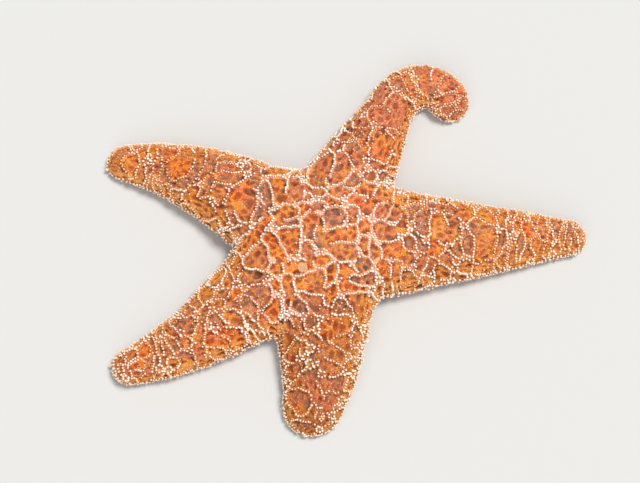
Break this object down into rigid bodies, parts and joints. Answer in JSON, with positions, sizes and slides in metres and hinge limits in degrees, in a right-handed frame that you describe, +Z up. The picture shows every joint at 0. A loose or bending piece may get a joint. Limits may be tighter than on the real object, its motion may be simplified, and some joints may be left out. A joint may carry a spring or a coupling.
{
  "type": "ochre sea star",
  "caption": "Life-size ochre sea star resting flat, with tapering spiny arms, one curled at its tip, a domed disc, sieve plate, mouth and tube-foot grooves.",
  "frame": {"origin": "on the floor under the middle of the whole animal's bounding box", "axes": "+Z up from the floor, +X along the straight east arm, +Y towards the arm with the curled tip"},
  "size_m": [0.2746, 0.2166, 0.034],
  "materials": {
    "skin": "soft wet orange skin with raised ridges, darker sunken patches and rows of small cream spines",
    "sieve_plate": "pale chalky plate with fine winding grooves",
    "lips": "soft moist membrane round the mouth",
    "spines": "cream rounded spine tips, slightly glossy",
    "tube_feet": "translucent pale yellow tubes with small suckers"
  },
  "bodies": {
    "root": {"disc": "skin", "mouth": "lips", "madreporite": "sieve_plate", "arm_north_base": "skin", "arm_north_bend": "skin", "arm_north_tip": "skin", "arm_east_base": "skin", "arm_east_middle": "skin", "arm_east_tip": "skin", "arm_south_base": "skin", "arm_south_middle": "skin", "arm_south_tip": "skin", "arm_southwest_base": "skin", "arm_southwest_middle": "skin", "arm_southwest_tip": "skin", "arm_northwest_base": "skin", "arm_northwest_middle": "skin", "arm_northwest_tip": "skin"}
  },
  "joints": []
}
